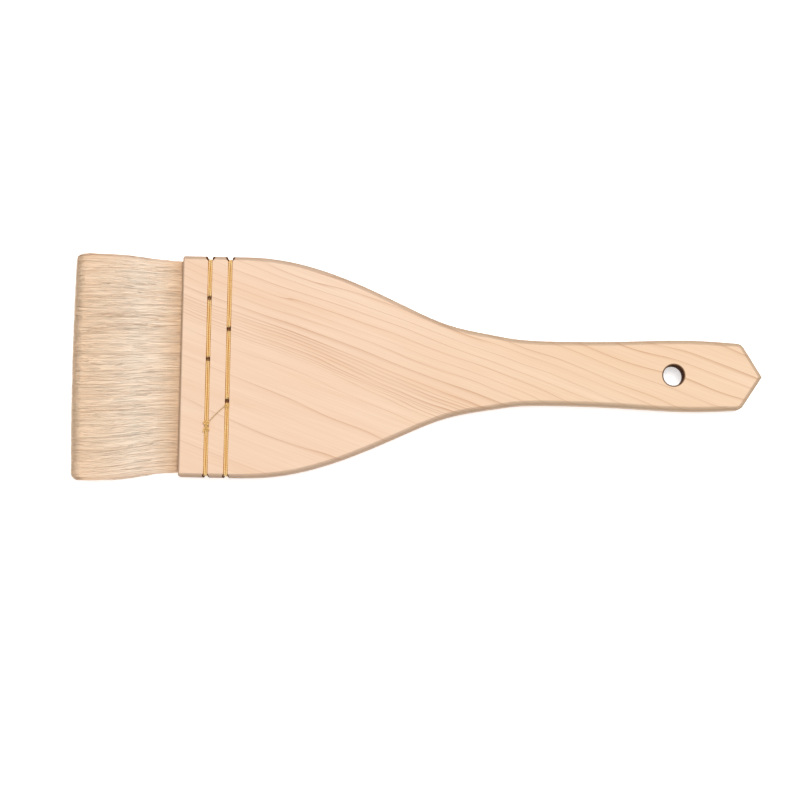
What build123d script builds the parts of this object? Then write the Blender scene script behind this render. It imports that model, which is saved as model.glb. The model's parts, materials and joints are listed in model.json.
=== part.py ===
from build123d import *
from math import radians, tan
import os

# A flat wash brush of goat hair. One board of pale cypress is shaped into a wide head and a slim
# handle, the head is sawn open from its end, a mat of hair is laid into the slit, and two rows of
# doubled silk thread sew the two cheeks of the head and the hair together.
#
# The brush lies flat: the hair points to -X, the handle to +X, and +Z is up. The origin is on the
# surface that it lies on, under the middle of its box. All sizes are in millimetres. A place along
# the brush is its distance behind the mouth, which is the end of the wood where the hair comes out.

# Board
overall_length = 233.5
handle_length = 197.0
board_thickness = 9.0
head_half_width = 37.5
neck_half_width = 10.8
grip_half_width = 12.0
shoulder_half_width = 11.2
straight_head = 22.0
neck_behind = 127.0
grip_behind = 172.0
point_half_angle = 57.5
shoulder_radius = 3.0
arris_radius = 1.5
mouth_rounding = 0.7

# Hanging hole
hanging_hole_behind = 167.0
hanging_hole_radius = 3.5
hanging_hole_chamfer = 0.5

# Slit, hair and seal
slit_depth = 22.0
slit_height = 5.0
seal_length = 3.0
root_half_width = 35.4
fan_half_width = 37.1
tip_half_width = 39.1
fan_ahead = 14.0
full_width_ahead = 29.0
bulge_height = 6.0
bulge_ahead = 11.0
tip_height = 3.4
tip_droop = 0.5
tip_corner_radius = 2.5

# Sewing
front_row_behind = 9.3
rear_row_behind = 16.1
front_hole_ys = (23.2, 2.5, -20.5)
rear_hole_ys = (12.8, -11.6)
strand_diameter = 0.6
strand_spacing = 0.66
strand_bend = 0.35
groove_width = 1.42
sewing_hole_length = 2.66
sewing_hole_width = 1.34
leg_offset = 0.82
upper_notch_floor = 35.9
lower_notch_floor = 36.4
notch_throat_width = 1.5
upper_notch_mouth_width = 3.0
lower_notch_mouth_width = 2.0
edge_clearance = 0.02

# Knot and tie
knot_half_width = 1.0
knot_half_length = 1.7
knot_height = 1.2
knot_rounding = 0.5
tie_diameter = 0.44
tie_start = (1.1, -1.2)
tie_corner = (-1.2, -1.5)
tie_bend = 2.4

# Places that follow from these
mouth_x = overall_length / 2 - handle_length
point_x = overall_length / 2
tip_x = -overall_length / 2
seal_x = mouth_x + slit_depth - seal_length
middle_z = board_thickness / 2
front_row_x = mouth_x + front_row_behind
rear_row_x = mouth_x + rear_row_behind
knot_y = front_hole_ys[-1] + 0.5
strand_radius = strand_diameter / 2
strand_low_z = strand_radius
strand_high_z = board_thickness - strand_radius
sewing_holes = [(front_row_x, y) for y in front_hole_ys] + [(rear_row_x, y) for y in rear_hole_ys]
beyond_board = 3 * head_half_width

os.makedirs("parts", exist_ok=True)


# Handle: the board's outline with its long edges rounded, then everything that is cut into it.
with BuildPart() as handle:
    with BuildSketch() as outline:
        with BuildLine():
            head_side = Line((mouth_x, head_half_width), (mouth_x + straight_head, head_half_width))
            flank = Spline(
                head_side @ 1,
                (mouth_x + 46, 33.9),
                (mouth_x + 66, 26.35),
                (mouth_x + 80, 19.9),
                (mouth_x + 92, 15.3),
                (mouth_x + 106, 12.5),
                (mouth_x + neck_behind, neck_half_width),
                tangents=[(1, 0), (1, 0)],
            )
            shoulder_x = point_x - shoulder_half_width / tan(radians(point_half_angle))
            grip = Spline(
                flank @ 1,
                (mouth_x + 152, 11.3),
                (mouth_x + grip_behind, grip_half_width),
                (shoulder_x, shoulder_half_width),
                tangents=[(1, 0), (1, -0.07)],
            )
            Line(grip @ 1, (point_x, 0))
            mirror(about=Plane.XZ)
            Line((mouth_x, head_half_width), (mouth_x, -head_half_width))
        make_face()
        fillet(outline.vertices().sort_by(Axis.X)[-3:-1], radius=shoulder_radius)
    extrude(amount=board_thickness)
    level_edges = handle.edges().filter_by(lambda edge: edge.bounding_box().size.Z < 0.01)
    fillet(level_edges.filter_by(lambda edge: edge.center().X > mouth_x + 1), radius=arris_radius)
    fillet(handle.faces().sort_by(Axis.X)[0].edges(), radius=mouth_rounding)

    # Hanging hole, with both rims chamfered.
    with Locations((mouth_x + hanging_hole_behind, 0, board_thickness)):
        Hole(radius=hanging_hole_radius)
    circles = handle.edges().filter_by(GeomType.CIRCLE)
    rims = circles.filter_by(lambda edge: abs(edge.radius - hanging_hole_radius) < 0.01)
    chamfer(rims, length=hanging_hole_chamfer)

    # Slit, sawn in from the mouth across the whole width of the head.
    with BuildSketch(Plane.YZ.offset(mouth_x)):
        with Locations((0, middle_z)):
            Rectangle(beyond_board, slit_height)
    extrude(amount=slit_depth, mode=Mode.SUBTRACT)

    # Thread grooves across both faces, one strand deep.
    for face, inward in ((Plane.XY.offset(board_thickness), -1), (Plane.XY, 1)):
        with BuildSketch(face):
            with Locations((front_row_x, 0), (rear_row_x, 0)):
                Rectangle(groove_width, beyond_board)
        extrude(amount=inward * strand_diameter, mode=Mode.SUBTRACT)

    # Notches where the thread goes round the two edges of the head. The upper edge's are deeper and
    # open wider.
    for side, notch_floor, notch_mouth_width in (
        (1, upper_notch_floor, upper_notch_mouth_width),
        (-1, lower_notch_floor, lower_notch_mouth_width),
    ):
        notch_depth = head_half_width - notch_floor
        with BuildSketch():
            for row_x in (front_row_x, rear_row_x):
                with BuildLine(Plane((row_x, side * notch_floor, 0))):
                    floor = Line((0, 0), (groove_width / 2, 0))
                    wall = Line(floor @ 1, (notch_throat_width / 2, side * notch_depth * 0.5))
                    rim = (notch_mouth_width / 2, side * notch_depth)
                    shoulder = TangentArc(wall @ 1, rim, tangent=wall % 1)
                    beyond = Line(shoulder @ 1, (notch_mouth_width / 2, side * 2 * notch_depth))
                    Line(beyond @ 1, (0, side * 2 * notch_depth))
                    mirror(about=Plane.YZ.offset(row_x))
                make_face()
        extrude(amount=board_thickness, mode=Mode.SUBTRACT)

    # Sewing holes, right through both cheeks.
    with BuildSketch():
        with Locations(sewing_holes):
            SlotOverall(sewing_hole_length, sewing_hole_width, rotation=90)
    extrude(amount=board_thickness, mode=Mode.SUBTRACT)
handle.part.label = "handle"
export_step(handle.part, "parts/handle.step")


# Hair mat: straight-sided in the slit, fanning out in front of the mouth, swelling and then
# thinning towards the tip. The sewing holes go through its root.
with BuildPart() as hair_mat:
    with BuildSketch() as plan:
        with BuildLine():
            root_side = Line((seal_x, root_half_width), (mouth_x + 4, root_half_width))
            fan_side = Spline(
                root_side @ 1,
                (mouth_x - fan_ahead, fan_half_width),
                (mouth_x - full_width_ahead, tip_half_width),
                tangents=[(-1, 0), (-1, 0)],
            )
            Line(fan_side @ 1, (tip_x, tip_half_width))
            mirror(about=Plane.XZ)
            Line((tip_x, tip_half_width), (tip_x, -tip_half_width))
            Line((seal_x, root_half_width), (seal_x, -root_half_width))
        make_face()
        fillet(plan.vertices().sort_by(Axis.X)[:2], radius=tip_corner_radius)
    extrude(amount=board_thickness)
    with BuildSketch(Plane.XZ):
        with BuildLine():
            top_root = Line((seal_x, middle_z + slit_height / 2), (mouth_x, middle_z + slit_height / 2))
            top_run = Spline(
                top_root @ 1,
                (mouth_x - bulge_ahead, middle_z + bulge_height / 2),
                (tip_x, middle_z - tip_droop + tip_height / 2),
                tangents=[(-1, 0), (-1, -0.12)],
            )
            low_root = Line((seal_x, middle_z - slit_height / 2), (mouth_x, middle_z - slit_height / 2))
            low_run = Spline(
                low_root @ 1,
                (mouth_x - bulge_ahead, middle_z - bulge_height / 2),
                (tip_x, middle_z - tip_droop - tip_height / 2),
                tangents=[(-1, 0), (-1, 0.06)],
            )
            Line(top_run @ 1, low_run @ 1)
            Line(top_root @ 0, low_root @ 0)
        make_face()
    extrude(amount=beyond_board, both=True, mode=Mode.INTERSECT)
    with BuildSketch():
        with Locations(sewing_holes):
            SlotOverall(sewing_hole_length, sewing_hole_width, rotation=90)
    extrude(amount=board_thickness, mode=Mode.SUBTRACT)
hair_mat.part.label = "hair_mat"
export_step(hair_mat.part, "parts/hair_mat.step")


# Root seal: the strip of hardened lacquer that binds the hair roots at the bottom of the slit.
with BuildPart() as root_seal:
    with BuildSketch(Plane.YZ.offset(seal_x)):
        with Locations((0, middle_z)):
            Rectangle(2 * root_half_width, slit_height)
    extrude(amount=seal_length)
root_seal.part.label = "root_seal"
export_step(root_seal.part, "parts/root_seal.step")


# Stitches: each is two turns of thread round both cheeks, from one hole, or edge notch, to the next.
upper_edge_leg = upper_notch_floor + strand_radius + edge_clearance
lower_edge_leg = -lower_notch_floor - strand_radius - edge_clearance
for row_name, row_x, hole_ys in (
    ("front_row", front_row_x, front_hole_ys),
    ("rear_row", rear_row_x, rear_hole_ys),
):
    upper_legs = [upper_edge_leg] + [y - leg_offset for y in hole_ys]
    lower_legs = [y + leg_offset for y in hole_ys] + [lower_edge_leg]
    for number, (upper, lower) in enumerate(zip(upper_legs, lower_legs), start=1):
        with BuildPart() as stitch:
            for turn_x in (row_x - strand_spacing / 2, row_x + strand_spacing / 2):
                with BuildLine(Plane.YZ.offset(turn_x)) as turn:
                    FilletPolyline(
                        (upper, strand_high_z),
                        (upper, strand_low_z),
                        (lower, strand_low_z),
                        (lower, strand_high_z),
                        radius=strand_bend,
                        close=True,
                    )
                with BuildSketch(Plane(turn.line @ 0, z_dir=turn.line % 0)):
                    Circle(strand_radius)
                sweep(path=turn.line)
        stitch_name = f"{row_name}_stitch_{number}"
        stitch.part.label = stitch_name
        export_step(stitch.part, f"parts/{stitch_name}.step")


# Tie-off knot: the wrapped end of the thread, pulled down over the front row's last hole.
with BuildPart() as tie_off_knot:
    with BuildSketch(Plane.XY.offset(board_thickness)):
        with Locations((front_row_x, knot_y)):
            Ellipse(knot_half_width, knot_half_length)
    extrude(amount=knot_height)
    fillet(tie_off_knot.edges().group_by(Axis.Z)[-1], radius=knot_rounding)
tie_off_knot.part.label = "tie_off_knot"
export_step(tie_off_knot.part, "parts/tie_off_knot.step")


# Tie strand: the single thread that runs over the face from the rear row's last hole to the knot.
with BuildPart() as tie_strand:
    rear_hole = (rear_row_x, rear_hole_ys[-1])
    with BuildLine(Plane.XY.offset(board_thickness + tie_diameter / 2)) as tie_route:
        FilletPolyline(
            (rear_hole[0] + tie_start[0], rear_hole[1] + tie_start[1]),
            (rear_hole[0] + tie_corner[0], rear_hole[1] + tie_corner[1]),
            (front_row_x, knot_y),
            radius=tie_bend,
        )
    with BuildSketch(Plane(tie_route.line @ 0, z_dir=tie_route.line % 0)):
        Circle(tie_diameter / 2)
    sweep(path=tie_route.line)
    add(tie_off_knot.part, mode=Mode.SUBTRACT)
tie_strand.part.label = "tie_strand"
export_step(tie_strand.part, "parts/tie_strand.step")
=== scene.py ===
import json
import math

import bpy
import numpy as np
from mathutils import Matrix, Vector

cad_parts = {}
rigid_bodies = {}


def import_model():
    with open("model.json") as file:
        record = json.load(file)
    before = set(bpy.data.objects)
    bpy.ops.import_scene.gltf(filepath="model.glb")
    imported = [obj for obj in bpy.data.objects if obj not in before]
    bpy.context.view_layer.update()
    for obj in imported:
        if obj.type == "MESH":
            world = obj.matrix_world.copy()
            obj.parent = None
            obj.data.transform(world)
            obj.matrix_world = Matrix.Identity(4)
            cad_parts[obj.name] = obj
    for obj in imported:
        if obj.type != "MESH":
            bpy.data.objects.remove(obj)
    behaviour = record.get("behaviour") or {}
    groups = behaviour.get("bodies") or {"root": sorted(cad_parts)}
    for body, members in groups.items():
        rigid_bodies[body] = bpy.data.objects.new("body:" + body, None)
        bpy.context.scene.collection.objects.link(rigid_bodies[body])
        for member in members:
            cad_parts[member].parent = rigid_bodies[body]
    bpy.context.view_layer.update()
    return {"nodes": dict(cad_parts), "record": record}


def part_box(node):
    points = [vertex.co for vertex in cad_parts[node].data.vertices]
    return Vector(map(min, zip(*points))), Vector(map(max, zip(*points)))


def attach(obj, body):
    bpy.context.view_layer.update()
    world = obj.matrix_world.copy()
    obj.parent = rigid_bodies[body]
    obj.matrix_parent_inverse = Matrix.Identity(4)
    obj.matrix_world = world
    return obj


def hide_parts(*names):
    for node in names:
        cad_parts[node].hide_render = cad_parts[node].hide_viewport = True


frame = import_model()


# Handle
# One board of pale cypress, shaped into a wide head and a slim grip, sawn open at the head for the
# hair, planed and sanded smooth and left bare. Its holes and notches are darkened with painted shade.
wood_low, wood_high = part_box("handle")
front_low, front_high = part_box("front_row_stitch_1")
rear_low, rear_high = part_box("rear_row_stitch_1")
front_row_x = (front_low.x + front_high.x) / 2
rear_row_x = (rear_low.x + rear_high.x) / 2
grain_slant = math.radians(19.5)
hole_below_stitch = 0.00052
hanging_hole = next(mount for mount in frame["record"]["mounts"] if mount["name"] == "hanging_hole")

# Each place darkened with painted shade is a middle and half a width and length, in metres: five
# sewing holes just below the lower ends of their stitches, the hanging hole, and two notches in each
# edge of the head.
painted_shade_places = [
    (front_row_x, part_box("front_row_stitch_1")[0].y - hole_below_stitch, 0.00072, 0.00138),
    (front_row_x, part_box("front_row_stitch_2")[0].y - hole_below_stitch, 0.00072, 0.00138),
    (front_row_x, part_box("front_row_stitch_3")[0].y - hole_below_stitch, 0.00072, 0.00138),
    (rear_row_x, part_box("rear_row_stitch_1")[0].y - hole_below_stitch, 0.00072, 0.00138),
    (rear_row_x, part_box("rear_row_stitch_2")[0].y - hole_below_stitch, 0.00072, 0.00138),
    (hanging_hole["pos_m"][0], hanging_hole["pos_m"][1], 0.00362, 0.00362),
]
for edge_y, notch_width, notch_length in ((wood_high.y, 0.00155, 0.0017), (wood_low.y, 0.00115, 0.0013)):
    for row_x in (front_row_x, rear_row_x):
        painted_shade_places.append((row_x, edge_y, notch_width, notch_length))


def lay_out(tree):
    """Places a node tree's nodes in rows of eight, left to right in the order they were made. The nodes
    outside any frame come first, and then each frame's rows below those of the frame before."""
    top = 0
    for group in [None] + [node for node in tree.nodes if node.type == "FRAME"]:
        members = [node for node in tree.nodes if node.parent == group and node.type != "FRAME"]
        for count, node in enumerate(members):
            node.location = (240 * (count % 8), top - 360 * (count // 8))
        top -= 360 * math.ceil(len(members) / 8) + 120


cypress = bpy.data.materials.new("bare_cypress")
cypress.use_nodes = True
tree = cypress.node_tree
tree.nodes.clear()

rings_frame = tree.nodes.new("NodeFrame")
rings_frame.label = "Growth rings, slanting across the board"
fibre_frame = tree.nodes.new("NodeFrame")
fibre_frame.label = "Fibres and soft patches"
edge_frame = tree.nodes.new("NodeFrame")
edge_frame.label = "Painted shade on rounded edges, end grain"
hole_shade_frame = tree.nodes.new("NodeFrame")
hole_shade_frame.label = "Painted shade in holes, notches and grooves"
surface_frame = tree.nodes.new("NodeFrame")
surface_frame.label = "Bare sanded surface"

place = tree.nodes.new("ShaderNodeTexCoord")
place.label = "place on the brush"

grain_way = tree.nodes.new("ShaderNodeMapping")
grain_way.label = "turn to run with the grain"
grain_way.inputs["Rotation"].default_value = (0, 0, grain_slant)
tree.links.new(place.outputs["Object"], grain_way.inputs["Vector"])

grain_axes = tree.nodes.new("ShaderNodeSeparateXYZ")
grain_axes.label = "along, across, deep"
tree.links.new(grain_way.outputs["Vector"], grain_axes.inputs["Vector"])

drift_stretch = tree.nodes.new("ShaderNodeMapping")
drift_stretch.label = "long slow waves"
drift_stretch.inputs["Scale"].default_value = (17, 22, 22)
tree.links.new(grain_way.outputs["Vector"], drift_stretch.inputs["Vector"])

drift = tree.nodes.new("ShaderNodeTexNoise")
drift.label = "the tree's slow bends"
drift.inputs["Scale"].default_value = 1.0
drift.inputs["Detail"].default_value = 1.5
tree.links.new(drift_stretch.outputs["Vector"], drift.inputs["Vector"])

drift_size = tree.nodes.new("ShaderNodeMath")
drift_size.label = "bend by a few millimetres"
drift_size.operation = "MULTIPLY_ADD"
drift_size.inputs[1].default_value = 0.009
drift_size.inputs[2].default_value = -0.0045
tree.links.new(drift.outputs["Fac"], drift_size.inputs[0])

ring_tilt = tree.nodes.new("ShaderNodeMath")
ring_tilt.label = "rings lean through the board"
ring_tilt.operation = "MULTIPLY_ADD"
ring_tilt.inputs[1].default_value = 0.5
tree.links.new(grain_axes.outputs["Z"], ring_tilt.inputs[0])
tree.links.new(grain_axes.outputs["Y"], ring_tilt.inputs[2])

ring_across = tree.nodes.new("ShaderNodeMath")
ring_across.label = "distance across the rings"
ring_across.operation = "ADD"
tree.links.new(ring_tilt.outputs["Value"], ring_across.inputs[0])
tree.links.new(drift_size.outputs["Value"], ring_across.inputs[1])

year_stretch = tree.nodes.new("ShaderNodeMapping")
year_stretch.label = "good years and bad"
year_stretch.inputs["Scale"].default_value = (6, 240, 120)
tree.links.new(grain_way.outputs["Vector"], year_stretch.inputs["Vector"])

years = tree.nodes.new("ShaderNodeTexNoise")
years.label = "uneven years"
years.inputs["Scale"].default_value = 1.0
tree.links.new(year_stretch.outputs["Vector"], years.inputs["Vector"])

uneven_across = tree.nodes.new("ShaderNodeMath")
uneven_across.label = "shift each year by up to a millimetre"
uneven_across.operation = "MULTIPLY_ADD"
uneven_across.inputs[1].default_value = 0.0035
tree.links.new(years.outputs["Fac"], uneven_across.inputs[0])
tree.links.new(ring_across.outputs["Value"], uneven_across.inputs[2])

board_share = tree.nodes.new("ShaderNodeMapRange")
board_share.label = "share of the board's breadth"
board_share.inputs["From Min"].default_value = -0.058
board_share.inputs["From Max"].default_value = 0.062
tree.links.new(uneven_across.outputs["Value"], board_share.inputs["Value"])

ring_age = tree.nodes.new("ShaderNodeFloatCurve")
ring_age.label = "fast years wide, slow years close"
age_curve = ring_age.mapping.curves[0]
age_curve.points[0].location = (0.0, 0.0)
age_curve.points[1].location = (1.0, 0.79)
for share, age in ((0.39, 0.10), (0.43, 0.13), (0.50, 0.36), (0.60, 0.47), (0.70, 0.58), (0.84, 0.69)):
    age_curve.points.new(share, age)
for point in age_curve.points:
    point.handle_type = "VECTOR"
ring_age.mapping.update()
tree.links.new(board_share.outputs["Result"], ring_age.inputs["Value"])

ring_number = tree.nodes.new("ShaderNodeMath")
ring_number.label = "share to years of growth"
ring_number.operation = "MULTIPLY"
ring_number.inputs[1].default_value = 36.0
tree.links.new(ring_age.outputs["Value"], ring_number.inputs[0])

season = tree.nodes.new("ShaderNodeMath")
season.label = "spring to autumn"
season.operation = "FRACT"
tree.links.new(ring_number.outputs["Value"], season.inputs[0])

line_sharpness = tree.nodes.new("ShaderNodeFloatCurve")
line_sharpness.label = "share of a wide year's line is smaller"
sharpness_curve = line_sharpness.mapping.curves[0]
sharpness_curve.points[0].location = (0.0, 1.0)
sharpness_curve.points[1].location = (1.0, 0.30)
for share, sharpness in ((0.40, 0.95), (0.45, 0.09), (0.51, 0.08), (0.56, 0.42), (0.70, 0.36)):
    sharpness_curve.points.new(share, sharpness)
line_sharpness.mapping.update()
tree.links.new(board_share.outputs["Result"], line_sharpness.inputs["Value"])

line_power = tree.nodes.new("ShaderNodeMath")
line_power.label = "power of the line"
line_power.operation = "MULTIPLY"
line_power.inputs[1].default_value = 34.0
tree.links.new(line_sharpness.outputs["Value"], line_power.inputs[0])

late_wood = tree.nodes.new("ShaderNodeMath")
late_wood.label = "late wood, a thin line that ends sharply"
late_wood.operation = "POWER"
tree.links.new(season.outputs["Value"], late_wood.inputs[0])
tree.links.new(line_power.outputs["Value"], late_wood.inputs[1])

fade_stretch = tree.nodes.new("ShaderNodeMapping")
fade_stretch.label = "long stretches"
fade_stretch.inputs["Scale"].default_value = (22, 130, 130)
tree.links.new(grain_way.outputs["Vector"], fade_stretch.inputs["Vector"])

fade = tree.nodes.new("ShaderNodeTexNoise")
fade.label = "where a line is strong or faint"
fade.inputs["Scale"].default_value = 1.0
tree.links.new(fade_stretch.outputs["Vector"], fade.inputs["Vector"])

fade_range = tree.nodes.new("ShaderNodeMapRange")
fade_range.label = "faint to full"
fade_range.inputs["From Min"].default_value = 0.35
fade_range.inputs["From Max"].default_value = 0.65
fade_range.inputs["To Min"].default_value = 0.45
tree.links.new(fade.outputs["Fac"], fade_range.inputs["Value"])

place_axes = tree.nodes.new("ShaderNodeSeparateXYZ")
place_axes.label = "how far along the brush"
tree.links.new(place.outputs["Object"], place_axes.inputs["Vector"])

head_fade = tree.nodes.new("ShaderNodeMapRange")
head_fade.label = "fainter in the head"
head_fade.inputs["From Min"].default_value = rear_row_x
head_fade.inputs["From Max"].default_value = rear_row_x + 0.020
head_fade.inputs["To Min"].default_value = 0.55
tree.links.new(place_axes.outputs["X"], head_fade.inputs["Value"])

head_line = tree.nodes.new("ShaderNodeMath")
head_line.label = "faded to the head"
head_line.operation = "MULTIPLY"
tree.links.new(late_wood.outputs["Value"], head_line.inputs[0])
tree.links.new(head_fade.outputs["Result"], head_line.inputs[1])

line = tree.nodes.new("ShaderNodeMath")
line.label = "strength of the ring line"
line.operation = "MULTIPLY"
tree.links.new(head_line.outputs["Value"], line.inputs[0])
tree.links.new(fade_range.outputs["Result"], line.inputs[1])

fibre_stretch = tree.nodes.new("ShaderNodeMapping")
fibre_stretch.label = "drawn out along the grain"
fibre_stretch.inputs["Scale"].default_value = (45, 2600, 2600)
tree.links.new(grain_way.outputs["Vector"], fibre_stretch.inputs["Vector"])

fibres = tree.nodes.new("ShaderNodeTexNoise")
fibres.label = "fine fibres"
fibres.inputs["Scale"].default_value = 1.0
fibres.inputs["Detail"].default_value = 3.0
tree.links.new(fibre_stretch.outputs["Vector"], fibres.inputs["Vector"])

fibre_tone = tree.nodes.new("ShaderNodeValToRGB")
fibre_tone.label = "fibre tone"
fibre_tone.color_ramp.elements[0].position = 0.3
fibre_tone.color_ramp.elements[0].color = (0.94, 0.905, 0.875, 1)
fibre_tone.color_ramp.elements[1].position = 0.7
fibre_tone.color_ramp.elements[1].color = (1, 1, 1, 1)
tree.links.new(fibres.outputs["Fac"], fibre_tone.inputs["Fac"])

patch_stretch = tree.nodes.new("ShaderNodeMapping")
patch_stretch.label = "soft stripes with the grain"
patch_stretch.inputs["Scale"].default_value = (12, 110, 110)
tree.links.new(grain_way.outputs["Vector"], patch_stretch.inputs["Vector"])

patches = tree.nodes.new("ShaderNodeTexNoise")
patches.label = "pink and honey patches"
patches.inputs["Scale"].default_value = 1.0
patches.inputs["Detail"].default_value = 2.0
tree.links.new(patch_stretch.outputs["Vector"], patches.inputs["Vector"])

patch_tone = tree.nodes.new("ShaderNodeValToRGB")
patch_tone.label = "patch tone"
patch_tone.color_ramp.elements[0].position = 0.3
patch_tone.color_ramp.elements[0].color = (0.98, 0.925, 0.875, 1)
patch_tone.color_ramp.elements[1].position = 0.7
patch_tone.color_ramp.elements[1].color = (1, 1, 1, 1)
tree.links.new(patches.outputs["Fac"], patch_tone.inputs["Fac"])

ring_colour = tree.nodes.new("ShaderNodeMix")
ring_colour.label = "early wood to late wood"
ring_colour.data_type = "RGBA"
ring_colour.inputs["A"].default_value = (0.915, 0.680, 0.508, 1)
ring_colour.inputs["B"].default_value = (0.62, 0.345, 0.205, 1)
tree.links.new(line.outputs["Value"], ring_colour.inputs["Factor"])

with_fibres = tree.nodes.new("ShaderNodeMix")
with_fibres.label = "fibres over the rings"
with_fibres.data_type = "RGBA"
with_fibres.blend_type = "MULTIPLY"
with_fibres.inputs["Factor"].default_value = 1.0
tree.links.new(ring_colour.outputs["Result"], with_fibres.inputs["A"])
tree.links.new(fibre_tone.outputs["Color"], with_fibres.inputs["B"])

with_patches = tree.nodes.new("ShaderNodeMix")
with_patches.label = "patches over the rings"
with_patches.data_type = "RGBA"
with_patches.blend_type = "MULTIPLY"
with_patches.inputs["Factor"].default_value = 1.0
tree.links.new(with_fibres.outputs["Result"], with_patches.inputs["A"])
tree.links.new(patch_tone.outputs["Color"], with_patches.inputs["B"])

facing = tree.nodes.new("ShaderNodeNewGeometry")
facing.label = "which way the wood faces"

facing_axes = tree.nodes.new("ShaderNodeSeparateXYZ")
facing_axes.label = "how level"
tree.links.new(facing.outputs["Normal"], facing_axes.inputs["Vector"])

level = tree.nodes.new("ShaderNodeMath")
level.label = "both faces alike"
level.operation = "ABSOLUTE"
tree.links.new(facing_axes.outputs["Z"], level.inputs[0])

# Painted shade: every face that turns from level, the rounded edges, the sides and the walls, is mixed
# towards dark tan.
turned = tree.nodes.new("ShaderNodeFloatCurve")
turned.label = "turned away from the planed faces"
turned_curve = turned.mapping.curves[0]
turned_curve.points[0].location = (0.0, 0.70)
turned_curve.points[1].location = (1.0, 0.0)
for how_level, share in ((0.35, 0.95), (0.75, 0.80), (0.93, 0.62), (0.972, 0.50), (0.988, 0.05)):
    turned_curve.points.new(how_level, share)
for point in turned_curve.points:
    point.handle_type = "VECTOR"
turned.mapping.update()
tree.links.new(level.outputs["Value"], turned.inputs["Value"])

end_grain = tree.nodes.new("ShaderNodeVectorMath")
end_grain.label = "facing along the grain"
end_grain.operation = "DOT_PRODUCT"
end_grain.inputs[1].default_value = (math.cos(grain_slant), -math.sin(grain_slant), 0)
tree.links.new(facing.outputs["Normal"], end_grain.inputs[0])

end_grain_share = tree.nodes.new("ShaderNodeMath")
end_grain_share.label = "share of end grain"
end_grain_share.operation = "POWER"
end_grain_share.inputs[1].default_value = 2.0
tree.links.new(end_grain.outputs["Value"], end_grain_share.inputs[0])

edge_shade_amount = tree.nodes.new("ShaderNodeMath")
edge_shade_amount.label = "painted shade on the rounded edges"
edge_shade_amount.operation = "MULTIPLY"
edge_shade_amount.inputs[1].default_value = 0.85
tree.links.new(turned.outputs["Value"], edge_shade_amount.inputs[0])

end_amount = tree.nodes.new("ShaderNodeMath")
end_amount.label = "end grain drinks in more"
end_amount.operation = "MULTIPLY"
end_amount.inputs[1].default_value = 0.35
tree.links.new(end_grain_share.outputs["Value"], end_amount.inputs[0])

# Painted shade on the rounded edges and sides, by how far they turn from level.
with_edge_shade = tree.nodes.new("ShaderNodeMix")
with_edge_shade.label = "edges mixed to painted shade"
with_edge_shade.data_type = "RGBA"
with_edge_shade.inputs["B"].default_value = (0.360, 0.240, 0.160, 1)
tree.links.new(edge_shade_amount.outputs["Value"], with_edge_shade.inputs["Factor"])
tree.links.new(with_patches.outputs["Result"], with_edge_shade.inputs["A"])

with_ends = tree.nodes.new("ShaderNodeMix")
with_ends.label = "darker end grain"
with_ends.data_type = "RGBA"
with_ends.inputs["B"].default_value = (0.560, 0.340, 0.190, 1)
tree.links.new(end_amount.outputs["Value"], with_ends.inputs["Factor"])
tree.links.new(with_edge_shade.outputs["Result"], with_ends.inputs["A"])

# Masks for the places darkened with painted shade: the holes and the edge notches.
nearest_hole = None
for hole_x, hole_y, hole_width, hole_length in painted_shade_places:
    from_hole = tree.nodes.new("ShaderNodeVectorMath")
    from_hole.label = "from a hole's centre"
    from_hole.parent = hole_shade_frame
    from_hole.operation = "SUBTRACT"
    from_hole.inputs[1].default_value = (hole_x, hole_y, 0)
    tree.links.new(place.outputs["Object"], from_hole.inputs[0])

    in_hole_sizes = tree.nodes.new("ShaderNodeVectorMath")
    in_hole_sizes.label = "in widths and lengths of the hole"
    in_hole_sizes.parent = hole_shade_frame
    in_hole_sizes.operation = "MULTIPLY"
    in_hole_sizes.inputs[1].default_value = (1 / hole_width, 1 / hole_length, 0)
    tree.links.new(from_hole.outputs["Vector"], in_hole_sizes.inputs[0])

    reach = tree.nodes.new("ShaderNodeVectorMath")
    reach.label = "one at the rim"
    reach.parent = hole_shade_frame
    reach.operation = "LENGTH"
    tree.links.new(in_hole_sizes.outputs["Vector"], reach.inputs[0])

    if nearest_hole is None:
        nearest_hole = reach
    else:
        nearer = tree.nodes.new("ShaderNodeMath")
        nearer.label = "nearest hole"
        nearer.parent = hole_shade_frame
        nearer.operation = "MINIMUM"
        tree.links.new(nearest_hole.outputs["Value"], nearer.inputs[0])
        tree.links.new(reach.outputs["Value"], nearer.inputs[1])
        nearest_hole = nearer

tail_share = tree.nodes.new("ShaderNodeMapRange")
tail_share.label = "head 0, tail 1"
tail_share.inputs["From Min"].default_value = -0.02
tail_share.inputs["From Max"].default_value = 0.05
tree.links.new(place_axes.outputs["X"], tail_share.inputs["Value"])

with_tail = tree.nodes.new("ShaderNodeMix")
with_tail.label = "tail yellowed by the hand"
with_tail.data_type = "RGBA"
with_tail.blend_type = "MULTIPLY"
with_tail.inputs["B"].default_value = (0.975, 0.972, 0.915, 1)
tree.links.new(tail_share.outputs["Result"], with_tail.inputs["Factor"])
tree.links.new(with_ends.outputs["Result"], with_tail.inputs["A"])

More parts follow.
